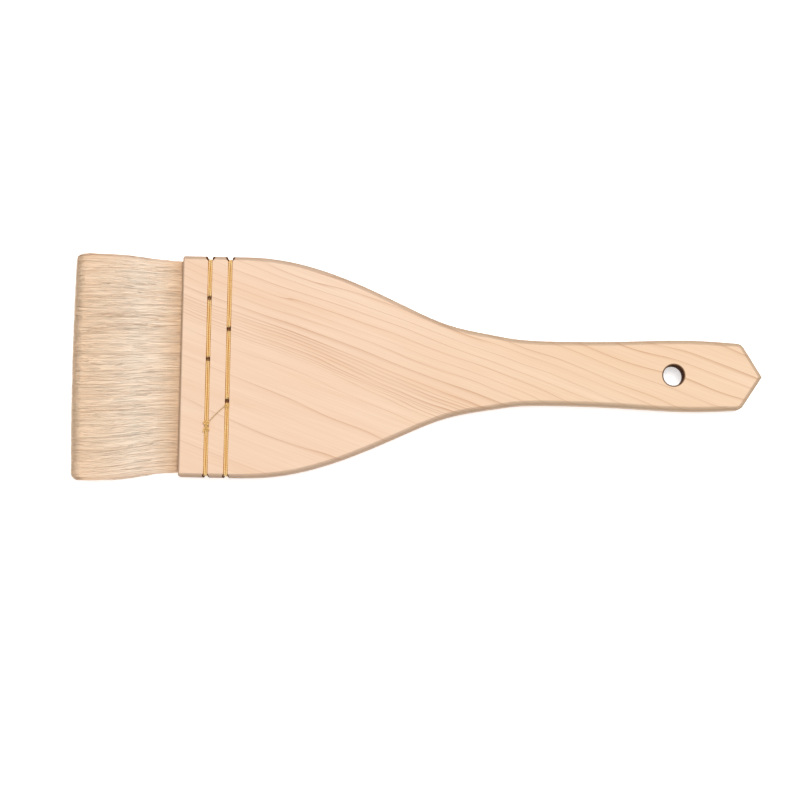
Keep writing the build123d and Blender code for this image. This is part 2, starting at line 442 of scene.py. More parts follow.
# Painted shade: a band along each row of stitches is mixed to warm brown, for the shade in the grooves
# beside the thread.
groove_shade = None
for row_x in (front_row_x, rear_row_x):
    in_groove = tree.nodes.new("ShaderNodeMath")
    in_groove.label = "within the thread's groove"
    in_groove.parent = hole_shade_frame
    in_groove.operation = "COMPARE"
    in_groove.inputs[1].default_value = row_x
    in_groove.inputs[2].default_value = 0.00076
    tree.links.new(place_axes.outputs["X"], in_groove.inputs[0])
    if groove_shade is None:
        groove_shade = in_groove
    else:
        either_groove = tree.nodes.new("ShaderNodeMath")
        either_groove.label = "either groove"
        either_groove.parent = hole_shade_frame
        either_groove.operation = "MAXIMUM"
        tree.links.new(groove_shade.outputs["Value"], either_groove.inputs[0])
        tree.links.new(in_groove.outputs["Value"], either_groove.inputs[1])
        groove_shade = either_groove

with_groove_shade = tree.nodes.new("ShaderNodeMix")
with_groove_shade.label = "painted shade in the grooves"
with_groove_shade.data_type = "RGBA"
with_groove_shade.inputs["B"].default_value = (0.72, 0.33, 0.075, 1)
tree.links.new(groove_shade.outputs["Value"], with_groove_shade.inputs["Factor"])
tree.links.new(with_tail.outputs["Result"], with_groove_shade.inputs["A"])

# Painted shade: the walls and rims of the holes and notches are mixed to near black brown.
hole_shade = tree.nodes.new("ShaderNodeMapRange")
hole_shade.label = "painted shade on walls and rims"
hole_shade.interpolation_type = "SMOOTHSTEP"
hole_shade.inputs["From Min"].default_value = 1.12
hole_shade.inputs["From Max"].default_value = 0.97
tree.links.new(nearest_hole.outputs["Value"], hole_shade.inputs["Value"])

with_hole_shade = tree.nodes.new("ShaderNodeMix")
with_hole_shade.label = "holes darkened with painted shade"
with_hole_shade.data_type = "RGBA"
with_hole_shade.inputs["B"].default_value = (0.105, 0.030, 0.004, 1)
tree.links.new(hole_shade.outputs["Result"], with_hole_shade.inputs["Factor"])
tree.links.new(with_groove_shade.outputs["Result"], with_hole_shade.inputs["A"])

relief = tree.nodes.new("ShaderNodeMath")
relief.label = "fibres and late wood stand a little proud"
relief.operation = "MULTIPLY_ADD"
relief.inputs[1].default_value = 0.5
tree.links.new(line.outputs["Value"], relief.inputs[0])
tree.links.new(fibres.outputs["Fac"], relief.inputs[2])

grain_bump = tree.nodes.new("ShaderNodeBump")
grain_bump.label = "sanded grain"
grain_bump.inputs["Strength"].default_value = 0.35
grain_bump.inputs["Distance"].default_value = 0.00006
tree.links.new(relief.outputs["Value"], grain_bump.inputs["Height"])

dullness = tree.nodes.new("ShaderNodeMapRange")
dullness.label = "roughness follows the fibres"
dullness.inputs["To Min"].default_value = 0.50
dullness.inputs["To Max"].default_value = 0.66
tree.links.new(fibres.outputs["Fac"], dullness.inputs["Value"])

hole_dullness = tree.nodes.new("ShaderNodeMix")
hole_dullness.label = "rougher in the holes and notches"
hole_dullness.inputs["B"].default_value = 0.95
tree.links.new(hole_shade.outputs["Result"], hole_dullness.inputs["Factor"])
tree.links.new(dullness.outputs["Result"], hole_dullness.inputs["A"])

bare_wood = tree.nodes.new("ShaderNodeBsdfPrincipled")
bare_wood.label = "bare cypress"
bare_wood.inputs["Specular IOR Level"].default_value = 0.2
tree.links.new(with_hole_shade.outputs["Result"], bare_wood.inputs["Base Color"])
tree.links.new(hole_dullness.outputs["Result"], bare_wood.inputs["Roughness"])
tree.links.new(grain_bump.outputs["Normal"], bare_wood.inputs["Normal"])

wood_out = tree.nodes.new("ShaderNodeOutputMaterial")
wood_out.label = "handle"
tree.links.new(bare_wood.outputs["BSDF"], wood_out.inputs["Surface"])
for effect, nodes in (
    (rings_frame, (
        grain_axes, drift_stretch, drift, drift_size, ring_tilt, ring_across, year_stretch, years,
        uneven_across, board_share, ring_age, ring_number, season, line_sharpness, line_power, late_wood,
        fade_stretch, fade, fade_range, place_axes, head_fade, head_line, line,
    )),
    (fibre_frame, (fibre_stretch, fibres, fibre_tone, patch_stretch, patches, patch_tone)),
    (surface_frame, (
        ring_colour, with_fibres, with_patches, with_edge_shade, with_ends, tail_share, with_tail, with_hole_shade,
        relief, grain_bump, dullness, hole_dullness, bare_wood, wood_out,
    )),
    (edge_frame, (
        facing, facing_axes, level, turned, end_grain, end_grain_share, edge_shade_amount, end_amount,
    )),
    (hole_shade_frame, (with_groove_shade, hole_shade)),
):
    for node in nodes:
        node.parent = effect
lay_out(tree)

handle = frame["nodes"]["handle"]
handle.data.materials.clear()
handle.data.materials.append(cypress)


# Root seal
# Dark lacquer, run into the bottom of the slit while the hair roots are pressed home and left to
# harden there. Only its two ends can be seen, deep in the open sides of the head.
seal_low, seal_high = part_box("root_seal")


def skin_mesh(name, rings):
    """A closed skin over a stack of rings of corners, given as an array of rings, corners and xyz.

    Neighbouring rings are joined by four-cornered faces, and the first and last rings are filled. The
    rings run round their own axis by the right hand as the stack goes on, so the faces look outwards."""
    stack, around = rings.shape[:2]
    index = np.arange(stack * around).reshape(stack, around)
    here, ahead = index[:-1], index[1:]
    walls = np.stack([here, np.roll(here, -1, axis=1), np.roll(ahead, -1, axis=1), ahead], axis=-1)
    faces = walls.reshape(-1, 4).tolist() + [index[0, ::-1].tolist(), index[-1].tolist()]
    mesh = bpy.data.meshes.new(name)
    mesh.from_pydata(rings.reshape(-1, 3).tolist(), [], faces)
    mesh.polygons.foreach_set("use_smooth", np.ones(len(mesh.polygons), bool))
    return mesh


def seal_rings(stations, around):
    """Rings along the width of the slit. Each is a rounded square, |x|^p + |z|^p = 1 with p = 7, as long
    and high as the seal. Its hair side is pushed in and out by slow sine waves, as a poured edge is."""
    turn = np.linspace(0, 2 * np.pi, around, endpoint=False)
    end_ease = np.linspace(-1, 1, stations)
    width = np.sign(end_ease) * (1 - (1 - np.abs(end_ease)) ** 1.6)
    round_off = (1 - np.abs(width) ** 24) ** 0.5 * 0.12 + 0.88
    middle = (seal_low + seal_high) / 2
    half = (seal_high - seal_low) / 2
    across = np.sign(np.cos(turn)) * np.abs(np.cos(turn)) ** (2 / 7)
    upright = np.sign(np.sin(turn)) * np.abs(np.sin(turn)) ** (2 / 7)
    wave = 0.00025 * np.sin(width * 31) + 0.00015 * np.sin(width * 83 + 1)
    hair_side = across < 0
    x = middle.x + half.x * round_off[:, None] * across + wave[:, None] * hair_side
    y = np.broadcast_to(middle.y + half.y * width[:, None], x.shape)
    z = middle.z + half.z * round_off[:, None] * upright
    return np.stack([x, y, z], axis=-1)


lacquer = bpy.data.materials.new("hard_lacquer")
lacquer.use_nodes = True
tree = lacquer.node_tree
tree.nodes.clear()

lacquer_frame = tree.nodes.new("NodeFrame")
lacquer_frame.label = "Brushed-in lacquer"

place = tree.nodes.new("ShaderNodeTexCoord")
place.label = "place on the brush"

lumps = tree.nodes.new("ShaderNodeTexNoise")
lumps.label = "runs and lumps"
lumps.inputs["Scale"].default_value = 900.0
lumps.inputs["Detail"].default_value = 2.0
tree.links.new(place.outputs["Object"], lumps.inputs["Vector"])

lacquer_tone = tree.nodes.new("ShaderNodeValToRGB")
lacquer_tone.label = "thin amber to thick brown"
lacquer_tone.color_ramp.elements[0].position = 0.35
lacquer_tone.color_ramp.elements[0].color = (0.035, 0.012, 0.004, 1)
lacquer_tone.color_ramp.elements[1].position = 0.7
lacquer_tone.color_ramp.elements[1].color = (0.13, 0.045, 0.012, 1)
tree.links.new(lumps.outputs["Fac"], lacquer_tone.inputs["Fac"])

lacquer_bump = tree.nodes.new("ShaderNodeBump")
lacquer_bump.label = "uneven skin"
lacquer_bump.inputs["Distance"].default_value = 0.0001
tree.links.new(lumps.outputs["Fac"], lacquer_bump.inputs["Height"])

lacquer_skin = tree.nodes.new("ShaderNodeBsdfPrincipled")
lacquer_skin.label = "hard lacquer"
lacquer_skin.inputs["Roughness"].default_value = 0.28
tree.links.new(lacquer_tone.outputs["Color"], lacquer_skin.inputs["Base Color"])
tree.links.new(lacquer_bump.outputs["Normal"], lacquer_skin.inputs["Normal"])

lacquer_out = tree.nodes.new("ShaderNodeOutputMaterial")
lacquer_out.label = "root seal"
tree.links.new(lacquer_skin.outputs["BSDF"], lacquer_out.inputs["Surface"])
for node in (lumps, lacquer_tone, lacquer_bump, lacquer_skin):
    node.parent = lacquer_frame
lay_out(tree)

root_seal = bpy.data.objects.new("lacquer_root_seal", skin_mesh("lacquer_root_seal", seal_rings(81, 40)))
bpy.context.scene.collection.objects.link(root_seal)
root_seal.data.materials.append(lacquer)
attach(root_seal, "root")
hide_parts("root_seal")


# Hair
# A flat mat of cream goat hair, thousands of fine hairs laid side by side. The roots stand on the
# lacquer in the slit, and the free length swells, fans out a little and thins to a soft, even edge.
hair_low, hair_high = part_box("hair_mat")
mouth_x = wood_low.x
free_length = mouth_x - hair_low.x
slit_length = hair_high.x - mouth_x
slit_half_width = 0.0354
slit_half_depth = 0.0025
slit_middle = 0.0045
mouth_opening = 0.0007
fan_start = 0.002
fan_run = 0.029
fan_opening = hair_high.y - 0.03636
fan_lean = 0.0009
tip_bow = 0.0006
tip_sink = 0.0005


def smooth_step(value):
    """Nought up to 0, one from 1 on, and between them three squares of the value less two cubes."""
    held = np.clip(value, 0, 1)
    return held * held * (3 - 2 * held)


def mat_half_width(ahead):
    """Half the mat's width at a distance ahead of the mouth. It is even in the slit, opens by 0.7 mm
    over the 5 mm about the mouth, and then follows one S-curve to its full spread, which it reaches
    5.5 mm short of the tips."""
    leaving = slit_half_width + mouth_opening * smooth_step((ahead + 0.004) / 0.005)
    return leaving + fan_opening * smooth_step((ahead - fan_start) / fan_run)


def mat_half_depth(ahead):
    """Half the mat's thickness. With u the share of the free length, it is 2.5 mm (1 + 0.9 u - 1.22 u^2),
    which swells just ahead of the mouth and thins towards the tips."""
    share = np.clip(ahead / free_length, 0, 1)
    return slit_half_depth * (1 + 0.9 * share - 1.22 * share**2)


def mat_middle(ahead):
    """Height of the mat's middle, which sinks with the square of the free length, 0.5 mm at the tips."""
    share = np.clip(ahead / free_length, 0, 1)
    return slit_middle - tip_sink * share**2


def mat_side_power(ahead):
    """How square the mat's cross-section is. It is |y|^n + z^2 = 1, and n falls from 12 in the slit to 5
    at the tips."""
    return 12 - 7 * smooth_step(ahead / free_length)


def hair_tip(side):
    """How far ahead of the mouth the tips end across the mat. They are bowed 0.6 mm, one less the square
    of the side, and each corner is rounded by a quarter circle."""
    y = side * hair_high.y
    corner = np.where(side > 0, 0.0020, 0.0030)
    past = np.clip((np.abs(y) - (hair_high.y - corner)) / corner, 0, 1)
    return free_length + tip_bow * (1 - side**2) - 0.0001 - corner * (1 - np.sqrt(1 - past**2))


def comb(ahead, y, lift, seed=5):
    """Moves points of the mat the way combing leaves real hair, and returns their new y and lift.

    Six long sine waves of mixed slant carry whole groups of hairs to and fro. Then hairs crowd into
    locks: y moves by minus c p / 2 pi times the sine of the lock phase, with p the width of a lock. The
    phase is y / p turns plus three slow waves, so locks wander, and c rises and falls, so they part and
    join. Between two locks the lift drops. The long waves grow from nothing at the mouth and the locks
    from a quarter of their depth, and towards the tips the whole fan leans 0.9 mm to the lower side."""
    chance = np.random.default_rng(seed)
    free = smooth_step(ahead / 0.012)
    moved = y.copy()
    for wave in range(6):
        run = 2 * np.pi / chance.uniform(0.035, 0.080)
        slant = 2 * np.pi / chance.uniform(0.006, 0.030) * chance.choice((-1, 1))
        size = chance.uniform(0.00010, 0.00022)
        moved = moved + size * free * np.sin(run * ahead + slant * y + chance.uniform(0, 6.28))
    lock_width = 0.00085
    lock_drop = 0.00007
    phase = 2 * np.pi * moved / lock_width
    strength = np.full_like(y, 0.40)
    for wave in range(3):
        run = 2 * np.pi / chance.uniform(0.030, 0.070)
        slant = 2 * np.pi / chance.uniform(0.004, 0.012) * chance.choice((-1, 1))
        phase = phase + 1.9 * np.sin(run * ahead + slant * y + chance.uniform(0, 6.28))
        strength = strength + 0.13 * np.sin(run * 1.7 * ahead - slant * 1.3 * y + wave)
    strength = np.clip(strength, 0.05, 0.8) * (0.25 + 0.75 * free)
    moved = moved - strength * lock_width / (2 * np.pi) * np.sin(phase)
    moved = moved - fan_lean * smooth_step((ahead - fan_start) / fan_run)
    gap = strength * (0.5 - 0.5 * np.cos(phase))
    return moved, lift - lock_drop * gap * np.sign(lift), gap


def tube_mesh(name, line, radius, first, second, corners, closed=False, bake_columns=None):
    """One mesh of many round threads. Each point of a thread's line becomes a ring of corners,
    line + radius (cos a first + sin a second), and neighbouring rings are joined by four-cornered
    faces. An open thread's ends are filled. first and second are square to the line, in that order by
    the right hand, so the faces look outwards. The point attribute "thread_way" holds the distance
    along the line, cos a and sin a. Each thread has a strip of its own in the map that is baked."""
    count, steps = line.shape[:2]
    turn = np.arange(corners) * 2 * np.pi / corners
    around = np.cos(turn)[:, None] * first[:, :, None, :] + np.sin(turn)[:, None] * second[:, :, None, :]
    points = line[:, :, None, :] + radius[:, :, None, None] * around
    index = np.arange(count * steps * corners).reshape(count, steps, corners)
    ahead = np.roll(index, -1, axis=1) if closed else index[:, 1:]
    here = index if closed else index[:, :-1]
    walls = np.stack([here, np.roll(here, -1, axis=2), np.roll(ahead, -1, axis=2), ahead], axis=-1)
    faces = walls.reshape(-1, 4).tolist()
    if not closed:
        faces += index[:, 0, ::-1].tolist() + index[:, -1].tolist()
    mesh = bpy.data.meshes.new(name)
    mesh.from_pydata(points.reshape(-1, 3), [], faces)
    mesh.polygons.foreach_set("use_smooth", np.ones(len(mesh.polygons), bool))

    step_length = np.linalg.norm(np.diff(line, axis=1), axis=-1)
    distance = np.concatenate([np.zeros((count, 1)), np.cumsum(step_length, axis=1)], axis=1)
    way = np.empty(points.shape)
    way[..., 0] = distance[:, :, None]
    way[..., 1] = np.cos(turn)
    way[..., 2] = np.sin(turn)
    mesh.attributes.new("thread_way", "FLOAT_VECTOR", "POINT").data.foreach_set("vector", way.ravel())

    columns = bake_columns or max(1, int(math.ceil(math.sqrt(count / 4))))
    rows = math.ceil(count / columns)
    strip = np.arange(count)
    left = (strip % columns) / columns
    bottom = (strip // columns) / rows
    wall_steps, wall_corners = walls.shape[1:3]
    along = np.arange(wall_steps)[:, None, None] + np.array([0, 0, 1, 1])
    up = np.arange(wall_corners)[None, :, None] + np.array([0, 1, 1, 0])
    along, up = np.broadcast_arrays(along / wall_steps, up / wall_corners)
    inset_along = (0.03 + 0.94 * along) / columns
    inset_up = (0.12 + 0.76 * up) / rows
    wall_map = np.stack(
        [left[:, None, None, None] + inset_along, bottom[:, None, None, None] + inset_up], axis=-1
    ).reshape(-1, 2)
    if not closed:
        end_up = np.linspace(0.12, 0.88, corners)
        end_rows = bottom[:, None] + end_up / rows
        near = np.stack(np.broadcast_arrays((left + 0.03 / columns)[:, None], end_rows), -1)
        far = np.stack(np.broadcast_arrays((left + 0.97 / columns)[:, None], end_rows), -1)
        wall_map = np.concatenate([wall_map, near[:, ::-1].reshape(-1, 2), far.reshape(-1, 2)])
    mesh.uv_layers.new(name="OFBake").data.foreach_set("uv", wall_map.ravel())
    return mesh


def hair_bundle(name, side, depth, start, end, steps, seed, thickness=0.00008, stray=0, light=0.67):
    """One bundle of hairs. Hair k lies at side[k] of the half width and depth[k] of the half thickness,
    from start[k] to end[k] ahead of the mouth. It is combed with the mat, drifts a little of its own
    accord, and its tip thins to half with the 30th power of its length. Three corners round, which is
    all that can be seen of a hair. stray adds a slant across the mat of about that size, a bow outwards
    of half of it, and a lift off the mat of a quarter. The point attribute "tone" says how light each
    hair is: about light, less in the gaps between locks as painted shade between them, and less with
    the 24th power of the side, as painted shade where the mat's sides curve away."""
    chance = np.random.default_rng(seed)
    count = len(side)
    share = np.linspace(0, 1, steps)
    ahead = start[:, None] + (end - start)[:, None] * share
    loose = smooth_step(ahead / free_length)
    own = chance.normal(0, 1, (5, count, 1))
    turn = chance.uniform(0, 2 * np.pi, (3, count, 1))
    run = 2 * np.pi / chance.uniform(0.010, 0.022, (count, 1))
    y = side[:, None] * mat_half_width(ahead)
    edge = np.sqrt(np.clip(1 - np.abs(side[:, None]) ** mat_side_power(ahead), 0, 1))
    reach = mat_half_depth(ahead) - 1.2 * thickness
    lift = depth[:, None] * edge * reach
    y, lift, gap = comb(ahead, y, lift)
    drift = 0.00038 * own[0] * loose * (1 - np.abs(side[:, None]) ** 12)
    y = y + drift + 0.00003 * np.sin(run * ahead + turn[0]) * smooth_step(ahead / 0.006)
    lift = lift + (0.00003 * own[1] * loose + 0.00002 * np.sin(run * ahead + turn[1])) * (ahead > 0)
    leaning = ahead / free_length
    y = y + stray * (own[4] * (leaning - 0.5) + 0.5 * np.sign(side[:, None]) * np.sin(np.pi * leaning) ** 4)
    lift = lift + 0.25 * stray * np.sign(depth[:, None]) * np.sin(np.pi * leaning) * loose
    line = np.stack([mouth_x - ahead, y, mat_middle(ahead) + lift], axis=-1)
    radius = thickness * (1 + 0.12 * own[2]) * (1 - 0.50 * share**30)
    radius = np.clip(radius, 0.25 * thickness, 1.4 * thickness)
    first = np.broadcast_to(np.array([0.0, 0.0, 1.0]), line.shape)
    second = np.broadcast_to(np.array([0.0, 1.0, 0.0]), line.shape)
    mesh = tube_mesh(name, line, radius, first, second, 3)
    # Painted shade: the tone drops in the gaps between locks and at the mat's two sides.
    tone = light + 0.09 * own[3] - 0.10 * gap - 0.45 * np.abs(side[:, None]) ** 24
    tone = np.repeat(np.clip(tone, 0, 1), 3, axis=1)
    mesh.attributes.new("tone", "FLOAT", "POINT").data.foreach_set("value", tone.astype(np.float32).ravel())
    mesh.materials.append(goat_hair)
    bundle = bpy.data.objects.new(name, mesh)
    bpy.context.scene.collection.objects.link(bundle)
    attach(bundle, "root")
    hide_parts("hair_mat")
    return bundle


goat_hair = bpy.data.materials.new("goat_hair")
goat_hair.use_nodes = True
tree = goat_hair.node_tree
tree.nodes.clear()

tone_frame = tree.nodes.new("NodeFrame")
tone_frame.label = "Each hair its own cream, with painted shade"
length_frame = tree.nodes.new("NodeFrame")
length_frame.label = "Lacquered root, painted shade at the mouth, yellowed tip"
gloss_frame = tree.nodes.new("NodeFrame")
gloss_frame.label = "Soft natural gloss"

hair_tone = tree.nodes.new("ShaderNodeAttribute")
hair_tone.label = "how light this hair is"
hair_tone.attribute_name = "tone"

cream = tree.nodes.new("ShaderNodeValToRGB")
cream.label = "tan to ivory"
cream.color_ramp.elements[0].position = 0.05
cream.color_ramp.elements[0].color = (0.87, 0.69, 0.54, 1)
cream.color_ramp.elements[1].position = 0.95
cream.color_ramp.elements[1].color = (0.995, 0.89, 0.76, 1)
middle_cream = cream.color_ramp.elements.new(0.5)
middle_cream.color = (0.985, 0.825, 0.665, 1)
tree.links.new(hair_tone.outputs["Fac"], cream.inputs["Fac"])

hair_place = tree.nodes.new("ShaderNodeTexCoord")
hair_place.label = "place on the brush"

hair_axes = tree.nodes.new("ShaderNodeSeparateXYZ")
hair_axes.label = "how far along the brush"
tree.links.new(hair_place.outputs["Object"], hair_axes.inputs["Vector"])

root_to_tip = tree.nodes.new("ShaderNodeMapRange")
root_to_tip.label = "root 0, tip 1"
root_to_tip.inputs["From Min"].default_value = hair_high.x
root_to_tip.inputs["From Max"].default_value = hair_low.x
tree.links.new(hair_axes.outputs["X"], root_to_tip.inputs["Value"])

length_tint_and_shade = tree.nodes.new("ShaderNodeValToRGB")
length_tint_and_shade.label = "lacquer and painted shade, cream, yellowed tip"
length_tint_and_shade.color_ramp.elements[0].position = 0.08
length_tint_and_shade.color_ramp.elements[0].color = (0.30, 0.125, 0.035, 1)
length_tint_and_shade.color_ramp.elements[1].position = 1.0
length_tint_and_shade.color_ramp.elements[1].color = (0.97, 0.865, 0.745, 1)
# Up to about 0.36 the hair lies in the slit: its brown is the lacquer on the roots and painted shade inside
# the slit. From 0.36 to 0.62, just ahead of the mouth, the darkening is painted shade of the cheeks.
for share, tint in (
    (0.22, (0.42, 0.24, 0.10, 1)),
    (0.36, (0.84, 0.71, 0.58, 1)),
    (0.41, (0.93, 0.84, 0.74, 1)),
    (0.49, (0.995, 0.965, 0.935, 1)),
    (0.62, (1, 1, 1, 1)),
):
    length_tint_and_shade.color_ramp.elements.new(share).color = tint
tree.links.new(root_to_tip.outputs["Result"], length_tint_and_shade.inputs["Fac"])

tinted = tree.nodes.new("ShaderNodeMix")
tinted.label = "tone of this hair, here"
tinted.data_type = "RGBA"
tinted.blend_type = "MULTIPLY"
tinted.inputs["Factor"].default_value = 1.0
tree.links.new(cream.outputs["Color"], tinted.inputs["A"])
tree.links.new(length_tint_and_shade.outputs["Color"], tinted.inputs["B"])

hair_way = tree.nodes.new("ShaderNodeAttribute")
hair_way.label = "along and around the hair"
hair_way.attribute_name = "thread_way"

scales = tree.nodes.new("ShaderNodeTexNoise")
scales.label = "scales of the hair"
scales.inputs["Scale"].default_value = 900.0
tree.links.new(hair_way.outputs["Vector"], scales.inputs["Vector"])

hair_dullness = tree.nodes.new("ShaderNodeMapRange")
hair_dullness.label = "duller where scales lift"
hair_dullness.inputs["To Min"].default_value = 0.42
hair_dullness.inputs["To Max"].default_value = 0.62
tree.links.new(scales.outputs["Fac"], hair_dullness.inputs["Value"])

hair_skin = tree.nodes.new("ShaderNodeBsdfPrincipled")
hair_skin.label = "goat hair"
hair_skin.inputs["Specular IOR Level"].default_value = 0.25
tree.links.new(tinted.outputs["Result"], hair_skin.inputs["Base Color"])
tree.links.new(hair_dullness.outputs["Result"], hair_skin.inputs["Roughness"])

hair_out = tree.nodes.new("ShaderNodeOutputMaterial")
hair_out.label = "hair"
tree.links.new(hair_skin.outputs["BSDF"], hair_out.inputs["Surface"])
for effect, nodes in (
    (tone_frame, (hair_tone, cream)),
    (length_frame, (hair_axes, root_to_tip, length_tint_and_shade)),
    (gloss_frame, (tinted, hair_way, scales, hair_dullness, hair_skin)),
):
    for node in nodes:
        node.parent = effect
lay_out(tree)


def pack_rings(stations, around):
    """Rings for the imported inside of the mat. A ring's corners are at |cos a|^(2/n) of the half width
    and sin a of the half thickness, so they keep to |y|^n + z^2 = 1. About the mouth the pack draws in
    by 0.3 mm on the faces and 0.6 mm at the sides, to lie under the single hairs. Its thickness closes
    by a square root just short of the tips, and it is combed as the hairs are."""
    share = np.linspace(0, 1, stations)
    ahead = (-slit_length + (slit_length + free_length - 0.0008) * share)[:, None]
    turn = np.linspace(0, 2 * np.pi, around, endpoint=False)[None, :]
    inset = 0.0003 * smooth_step((ahead + 0.003) / 0.006)
    close = np.sqrt(np.clip((1.0 - ahead / free_length) / 0.035, 0.05, 1))
    side = np.sign(np.cos(turn)) * np.abs(np.cos(turn)) ** (2 / mat_side_power(ahead))
    y = side * (mat_half_width(ahead) - 2 * inset)
    lift = np.sin(turn) * (mat_half_depth(ahead) - inset - 0.00002) * close
    y, lift = comb(np.broadcast_to(ahead, y.shape), y, lift)[:2]
    x = np.broadcast_to(mouth_x - ahead, y.shape)
    return np.stack([x, y, mat_middle(ahead) + lift], axis=-1)[:, ::-1]


pack_corners = 480
hair_pack_mesh = skin_mesh("hair_pack", pack_rings(48, pack_corners))
corner_tone = 0.58 + 0.16 * np.sin(np.arange(len(hair_pack_mesh.vertices)) % pack_corners * 2.4)
corner_tones = hair_pack_mesh.attributes.new("tone", "FLOAT", "POINT")
corner_tones.data.foreach_set("value", corner_tone.astype(np.float32))
hair_pack_mesh.materials.append(goat_hair)
hair_pack = bpy.data.objects.new("hair_pack", hair_pack_mesh)
bpy.context.scene.collection.objects.link(hair_pack)
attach(hair_pack, "root")
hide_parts("hair_mat")

chance = np.random.default_rng(11)
for name, face, count, seed in (("upper_hairs", 1, 2620, 21), ("lower_hairs", -1, 2620, 22)):
    side = np.linspace(-0.985, 0.985, count) + chance.normal(0, 0.004, count)
    side = np.clip(side, -0.99, 0.99)
    depth = face * (1 - 0.16 * chance.random(count))
    end = hair_tip(side) - chance.random(count) ** 2 * 0.0010
    hair_bundle(name, side, depth, np.full(count, -0.0030), end, 13, seed)

side_count = 900
around_side = chance.uniform(-1.25, 1.25, side_count)
side = np.cos(around_side) ** 0.2 * np.where(np.arange(side_count) % 2, 1, -1)
side = side * (1 - 0.012 * chance.random(side_count))
depth = np.sign(around_side) * (1 - 0.25 * chance.random(side_count))
end = hair_tip(side) - chance.random(side_count) ** 2 * 0.0011
# Painted shade: the side hairs get a low tone for the shade on the mat's sides.
hair_bundle("side_hairs", side, depth, np.full(side_count, -slit_length + 0.0002), end, 19, 23, light=0.22)

tip_count = 3000
side = chance.uniform(-0.98, 0.98, tip_count)
depth = chance.uniform(-1.0, 1.0, tip_count)
start = chance.uniform(0.018, 0.032, tip_count)
end = hair_tip(side) - 0.0003 * depth**2 - chance.random(tip_count) ** 2 * 0.0012 + 0.0003
hair_bundle("tip_hairs", side, depth, start, end, 7, 24)

# A few hairs lie across the others on both faces, and some have sprung out of the two sides.
stray_count = 66
side = chance.uniform(-0.93, 0.93, stray_count)
depth = np.where(np.arange(stray_count) % 2, 1.03, -1.03)
start = chance.uniform(0.001, 0.010, stray_count)
end = chance.uniform(0.024, 0.0355, stray_count)
hair_bundle("crossing_hairs", side, depth, start, end, 13, 25, 0.00006, stray=0.0013, light=0.22)

side = np.where(np.arange(stray_count) % 3, 1, -1) * chance.uniform(0.985, 1.0, stray_count)
depth = chance.uniform(-1, 1, stray_count)
start = chance.uniform(0.004, 0.014, stray_count)
end = hair_tip(side) - chance.random(stray_count) * 0.004
# Painted shade: the strays on the sides get the lowest tone, more of the shade on the mat's sides.
hair_bundle("side_strays", side, depth, start, end, 13, 26, 0.00007, stray=0.0008, light=0.05)


# Stitches
# Yellow silk sewing thread. Every stitch is two turns of it side by side, down one hole or edge notch
# and up the next, pulled tight in the grooves so that the two halves of the head squeeze the hair.
strand_radius = 0.0003
ply_radius = 0.000165
ply_swing = 0.000125
twist_pitch = 0.0016


def stitch_line(low, high, paces):
    """Points at an even pace round a stitch, seen along the brush: a rectangle from the first hole or
    notch to the second and from the underside to the face, its corners quarter circles. Also how far
    each point is along its run, from 0 at one end to 1 at the other."""
    y_low, y_high = low.y + strand_radius, high.y - strand_radius
    z_low, z_high = low.z + strand_radius, high.z - strand_radius
    bend = 0.00035
    quarter = np.linspace(0, np.pi / 2, 12)
    corners = ((y_high, z_high, 0), (y_low, z_high, 1), (y_low, z_low, 2), (y_high, z_low, 3))
    outline = []
    for corner_y, corner_z, turn in corners:
        towards_y = np.sign((y_low + y_high) / 2 - corner_y)
        towards_z = np.sign((z_low + z_high) / 2 - corner_z)
        angle = quarter + turn * np.pi / 2
        outline.append(np.stack([
            corner_y + towards_y * bend + bend * np.cos(angle),
            corner_z + towards_z * bend + bend * np.sin(angle),
        ], axis=-1))
    outline = np.concatenate(outline + [outline[0][:1]])
    reach = np.concatenate([[0], np.cumsum(np.linalg.norm(np.diff(outline, axis=0), axis=-1))])
    pace = np.linspace(0, reach[-1], paces, endpoint=False)
    y = np.interp(pace, reach, outline[:, 0])
    z = np.interp(pace, reach, outline[:, 1])
    return y, z, (y - y_low) / (y_high - y_low), reach[-1]


def plies(line, first, second, distance, length, turns, start):
    """Two plies twisted round each other. Each runs along line + swing (cos a first + sin a second), with
    a one whole turn for each pitch of the twist, and the two plies half a turn apart."""
    angle = 2 * np.pi * turns * distance / length + start
    angle = np.stack([angle, angle + np.pi])[..., None]
    return line + ply_swing * (np.cos(angle) * first + np.sin(angle) * second)


